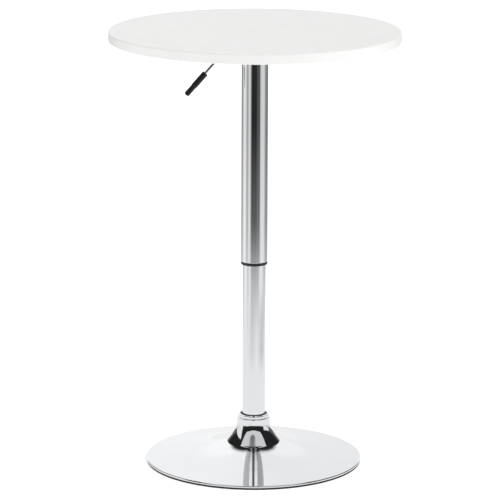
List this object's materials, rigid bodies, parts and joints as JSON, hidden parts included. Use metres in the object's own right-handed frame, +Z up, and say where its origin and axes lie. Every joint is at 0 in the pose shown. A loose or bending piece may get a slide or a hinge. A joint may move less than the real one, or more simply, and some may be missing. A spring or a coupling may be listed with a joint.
{
  "type": "bistro table",
  "caption": "Round bistro table with a white top on a gas-lift column, a chrome trumpet base, a telescoping chrome cover sleeve and a side release lever with a black grip.",
  "frame": {"origin": "on the floor, under the middle of the column", "axes": "+Z up along the column; the release lever points along -X"},
  "size_m": [0.6, 0.6, 0.91],
  "materials": {
    "top_lacquer": "board with satin white lacquer",
    "chrome": "polished chrome plating",
    "black_plastic": "moulded, satin",
    "grip_plastic": "moulded with a fine grain",
    "rubber": "matt",
    "black_steel": "black powder coat",
    "zinc_steel": "bright zinc plating",
    "bare_steel": "ground",
    "brass": "turned"
  },
  "bodies": {
    "base": {"floor_ring": "rubber", "base_plate": "black_steel", "base_plug": "black_plastic", "base_hub": "black_steel", "base_shell": "chrome", "neck_bush": "black_plastic", "column_tube": "chrome", "column_floor": "black_steel", "column_guide_bush": "black_plastic", "thrust_washer_lower": "bare_steel"},
    "rod": {"piston_rod": "chrome", "rod_clip": "bare_steel", "thrust_bearing_cage": "brass", "thrust_washer_upper": "bare_steel", "bump_stop": "rubber", "piston": "bare_steel", "piston_seal": "rubber", "piston_nut": "bare_steel"},
    "lift": {"gas_cylinder": "black_steel", "rod_guide": "bare_steel", "rod_seal": "rubber", "valve_body": "brass", "mount_hub": "black_steel", "sleeve_top_bush": "black_plastic", "cover_sleeve": "chrome", "sleeve_end_ring": "black_plastic", "mount_plate": "black_steel", "hub_rib_1": "black_steel", "hub_rib_2": "black_steel", "hub_rib_3": "black_steel", "hub_rib_4": "black_steel", "lever_bracket": "black_steel", "pivot_pin": "bare_steel", "table_top": "top_lacquer", "mount_bolt_1": "zinc_steel", "mount_washer_1": "zinc_steel", "top_insert_1": "brass", "mount_bolt_2": "zinc_steel", "mount_washer_2": "zinc_steel", "top_insert_2": "brass", "mount_bolt_3": "zinc_steel", "mount_washer_3": "zinc_steel", "top_insert_3": "brass", "mount_bolt_4": "zinc_steel", "mount_washer_4": "zinc_steel", "top_insert_4": "brass"},
    "lever": {"lever_rod": "chrome", "lever_grip": "grip_plastic"},
    "release_pin": {"release_pin": "bare_steel"}
  },
  "joints": [
    {"name": "top_swivel", "type": "hinge", "parent": "base", "child": "rod", "pos_m": [0, 0, 0.02], "axis": [0, 0, 1], "continuous": true},
    {"name": "lift_slide", "type": "slide", "parent": "rod", "child": "lift", "axis": [0, 0, 1], "range_m": [-0.21, 0]},
    {"name": "lever_tilt", "type": "hinge", "parent": "lift", "child": "lever", "pos_m": [-0.03, 0, 0.874], "axis": [0, 1, 0], "range_deg": [0, 7], "stiffness_Nm_per_rad": 2, "springref_deg": -2.86},
    {"name": "pin_slide", "type": "slide", "parent": "lift", "child": "release_pin", "axis": [0, 0, -1], "range_m": [0, 0.0038]}
  ],
  "couplings": [
    {"joint": "pin_slide", "follows": "lever_tilt", "m_per_rad": 0.031}
  ]
}
